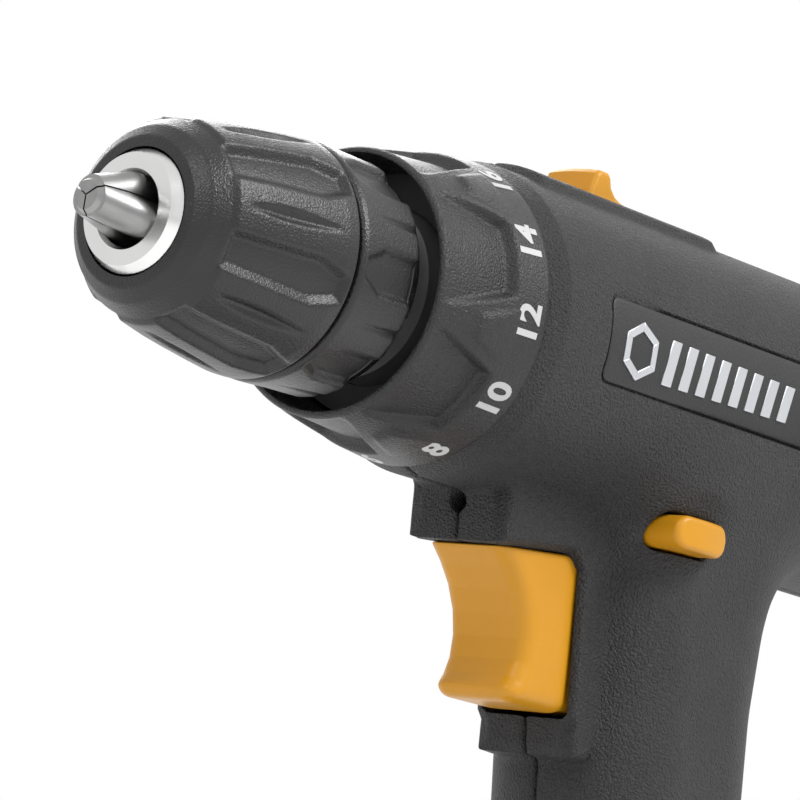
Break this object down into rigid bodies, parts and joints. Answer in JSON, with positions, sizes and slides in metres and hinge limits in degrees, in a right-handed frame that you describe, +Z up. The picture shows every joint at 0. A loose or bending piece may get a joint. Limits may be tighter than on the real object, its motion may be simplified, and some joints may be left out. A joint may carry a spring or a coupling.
{
  "type": "cordless drill",
  "caption": "Pistol-grip cordless drill with a keyless three-jaw chuck, torque ring, two-speed slider, trigger, direction bar and a slide-out battery pack.",
  "frame": {"origin": "middle of the battery pack's flat underside", "axes": "-X along the barrel towards the chuck's nose, +Z up, -Y towards the drill's left side"},
  "size_m": [0.206, 0.0736, 0.2259],
  "materials": {
    "housing_plastic": "fine spark-eroded texture, dark grey",
    "sleeve_plastic": "smooth satin, near black",
    "control_plastic": "satin, yellow-orange",
    "inner_plastic": "plain moulded",
    "gear_steel": "machined",
    "bright_steel": "turned, bright",
    "jaw_steel": "ground, satin",
    "dark_steel": "blacked steel",
    "copper": "enamelled copper winding",
    "contact_brass": "plated contact strip",
    "carbon": "carbon brush",
    "cell_can": "shrink-wrapped cell",
    "wire_insulation": "flexible insulation",
    "case_zinc": "die-cast"
  },
  "bodies": {
    "root": {"housing_left": "housing_plastic", "housing_right": "housing_plastic", "housing_screws": "dark_steel", "gearbox_case": "case_zinc", "gearbox_end_plate": "gear_steel", "ring_gear_3": "gear_steel", "ring_gear_1": "gear_steel", "clutch_washer": "gear_steel", "clutch_spring": "bright_steel", "bearing_outer_race": "gear_steel", "motor_can": "bright_steel", "motor_magnets": "dark_steel", "motor_end_cap": "inner_plastic", "motor_brushes": "carbon", "switch_body": "inner_plastic", "trigger_spring": "bright_steel", "battery_receptacle": "inner_plastic", "wiring": "wire_insulation"},
    "spindle": {"spindle": "gear_steel", "planet_carrier_3": "gear_steel", "bearing_inner_race": "gear_steel", "chuck_body": "bright_steel", "chuck_screw": "dark_steel", "rear_sleeve": "sleeve_plastic"},
    "front_sleeve": {"front_sleeve": "sleeve_plastic", "chuck_nut": "gear_steel"},
    "torque_ring": {"torque_ring": "housing_plastic"},
    "clutch_nut": {"clutch_nut": "inner_plastic"},
    "speed_selector": {"speed_selector": "control_plastic", "shift_wire": "bright_steel", "ring_gear_2": "gear_steel"},
    "direction_bar": {"direction_bar": "control_plastic"},
    "trigger": {"trigger": "control_plastic"},
    "battery": {"battery_case_upper": "housing_plastic", "battery_case_lower": "housing_plastic", "battery_cells": "cell_can", "battery_terminals": "contact_brass", "latch_springs": "bright_steel"},
    "latch_left": {"latch_left": "control_plastic"},
    "latch_right": {"latch_right": "control_plastic"},
    "rotor": {"armature_core": "dark_steel", "commutator": "copper", "armature_windings": "copper", "motor_shaft": "gear_steel", "motor_pinion": "gear_steel", "cooling_fan": "inner_plastic"},
    "carrier_2": {"planet_carrier_2": "gear_steel"},
    "carrier_1": {"planet_carrier_1": "gear_steel"},
    "jaw_a": {"jaw_a": "jaw_steel"},
    "jaw_b": {"jaw_b": "jaw_steel"},
    "jaw_c": {"jaw_c": "jaw_steel"},
    "planet_3a": {"planet_gear_3a": "gear_steel"},
    "planet_3b": {"planet_gear_3b": "gear_steel"},
    "planet_3c": {"planet_gear_3c": "gear_steel"},
    "planet_2a": {"planet_gear_2a": "gear_steel"},
    "planet_2b": {"planet_gear_2b": "gear_steel"},
    "planet_2c": {"planet_gear_2c": "gear_steel"},
    "planet_1a": {"planet_gear_1a": "gear_steel"},
    "planet_1b": {"planet_gear_1b": "gear_steel"},
    "planet_1c": {"planet_gear_1c": "gear_steel"}
  },
  "joints": [
    {"name": "chuck_spin", "type": "hinge", "parent": "root", "child": "spindle", "pos_m": [-0.09, 0, 0.195], "axis": [1, 0, 0], "continuous": true},
    {"name": "sleeve_turn", "type": "hinge", "parent": "spindle", "child": "front_sleeve", "pos_m": [-0.12, 0, 0.195], "axis": [1, 0, 0], "range_deg": [0, 4070]},
    {"name": "jaw_a_slide", "type": "slide", "parent": "spindle", "child": "jaw_a", "axis": [0.9613, 0, 0.2756], "range_m": [0, 0.0181]},
    {"name": "jaw_b_slide", "type": "slide", "parent": "spindle", "child": "jaw_b", "axis": [0.9613, -0.2387, -0.1378], "range_m": [0, 0.0181]},
    {"name": "jaw_c_slide", "type": "slide", "parent": "spindle", "child": "jaw_c", "axis": [0.9613, 0.2387, -0.1378], "range_m": [0, 0.0181]},
    {"name": "carrier_2_spin", "type": "hinge", "parent": "root", "child": "carrier_2", "pos_m": [-0.055, 0, 0.195], "axis": [1, 0, 0], "continuous": true},
    {"name": "carrier_1_spin", "type": "hinge", "parent": "root", "child": "carrier_1", "pos_m": [-0.043, 0, 0.195], "axis": [1, 0, 0], "continuous": true},
    {"name": "motor_spin", "type": "hinge", "parent": "root", "child": "rotor", "pos_m": [-0.004, 0, 0.195], "axis": [1, 0, 0], "continuous": true},
    {"name": "planet_3a_spin", "type": "hinge", "parent": "spindle", "child": "planet_3a", "pos_m": [-0.0595, 0, 0.2058], "axis": [1, 0, 0], "continuous": true},
    {"name": "planet_3b_spin", "type": "hinge", "parent": "spindle", "child": "planet_3b", "pos_m": [-0.0595, -0.00935, 0.1896], "axis": [1, 0, 0], "continuous": true},
    {"name": "planet_3c_spin", "type": "hinge", "parent": "spindle", "child": "planet_3c", "pos_m": [-0.0595, 0.00935, 0.1896], "axis": [1, 0, 0], "continuous": true},
    {"name": "planet_2a_spin", "type": "hinge", "parent": "carrier_2", "child": "planet_2a", "pos_m": [-0.0497, 0, 0.2058], "axis": [1, 0, 0], "continuous": true},
    {"name": "planet_2b_spin", "type": "hinge", "parent": "carrier_2", "child": "planet_2b", "pos_m": [-0.0497, -0.00935, 0.1896], "axis": [1, 0, 0], "continuous": true},
    {"name": "planet_2c_spin", "type": "hinge", "parent": "carrier_2", "child": "planet_2c", "pos_m": [-0.0497, 0.00935, 0.1896], "axis": [1, 0, 0], "continuous": true},
    {"name": "planet_1a_spin", "type": "hinge", "parent": "carrier_1", "child": "planet_1a", "pos_m": [-0.0368, 0, 0.2058], "axis": [1, 0, 0], "continuous": true},
    {"name": "planet_1b_spin", "type": "hinge", "parent": "carrier_1", "child": "planet_1b", "pos_m": [-0.0368, -0.00935, 0.1896], "axis": [1, 0, 0], "continuous": true},
    {"name": "planet_1c_spin", "type": "hinge", "parent": "carrier_1", "child": "planet_1c", "pos_m": [-0.0368, 0.00935, 0.1896], "axis": [1, 0, 0], "continuous": true},
    {"name": "torque_turn", "type": "hinge", "parent": "root", "child": "torque_ring", "pos_m": [-0.08, 0, 0.195], "axis": [-1, 0, 0], "range_deg": [-30, 255]},
    {"name": "clutch_nut_slide", "type": "slide", "parent": "torque_ring", "child": "clutch_nut", "axis": [-1, 0, 0], "range_m": [-0.0006, 0.0043], "deforming": ["clutch_spring"]},
    {"name": "speed_shift", "type": "slide", "parent": "root", "child": "speed_selector", "axis": [1, 0, 0], "range_m": [0, 0.005]},
    {"name": "direction_shift", "type": "slide", "parent": "root", "child": "direction_bar", "axis": [0, 1, 0], "range_m": [-0.0025, 0.0025]},
    {"name": "trigger_pull", "type": "slide", "parent": "root", "child": "trigger", "axis": [1, 0, 0], "range_m": [0, 0.007], "stiffness_N_per_m": 800, "springref_m": -0.004, "deforming": ["trigger_spring"]},
    {"name": "battery_slide", "type": "slide", "parent": "root", "child": "battery", "axis": [0.1271, 0, -0.9919], "range_m": [0, 0.09]},
    {"name": "latch_left_press", "type": "slide", "parent": "battery", "child": "latch_left", "axis": [0, 1, 0], "range_m": [0, 0.003], "stiffness_N_per_m": 900, "springref_m": -0.003, "deforming": ["latch_springs"]},
    {"name": "latch_right_press", "type": "slide", "parent": "battery", "child": "latch_right", "axis": [0, -1, 0], "range_m": [0, 0.003], "stiffness_N_per_m": 900, "springref_m": -0.003, "deforming": ["latch_springs"]}
  ],
  "couplings": [
    {"joint": "jaw_a_slide", "follows": "sleeve_turn", "m_per_rad": 0.00025465},
    {"joint": "jaw_b_slide", "follows": "sleeve_turn", "m_per_rad": 0.00025465},
    {"joint": "jaw_c_slide", "follows": "sleeve_turn", "m_per_rad": 0.00025465},
    {"joint": "carrier_2_spin", "follows": "chuck_spin", "ratio": 3.6},
    {"joint": "carrier_1_spin", "follows": "chuck_spin", "ratio": 12.96},
    {"joint": "motor_spin", "follows": "chuck_spin", "ratio": 46.656},
    {"joint": "planet_3a_spin", "follows": "chuck_spin", "ratio": -3.25},
    {"joint": "planet_3b_spin", "follows": "chuck_spin", "ratio": -3.25},
    {"joint": "planet_3c_spin", "follows": "chuck_spin", "ratio": -3.25},
    {"joint": "planet_2a_spin", "follows": "chuck_spin", "ratio": -11.7},
    {"joint": "planet_2b_spin", "follows": "chuck_spin", "ratio": -11.7},
    {"joint": "planet_2c_spin", "follows": "chuck_spin", "ratio": -11.7},
    {"joint": "planet_1a_spin", "follows": "chuck_spin", "ratio": -42.12},
    {"joint": "planet_1b_spin", "follows": "chuck_spin", "ratio": -42.12},
    {"joint": "planet_1c_spin", "follows": "chuck_spin", "ratio": -42.12},
    {"joint": "clutch_nut_slide", "follows": "torque_turn", "m_per_rad": 0.0009437}
  ]
}
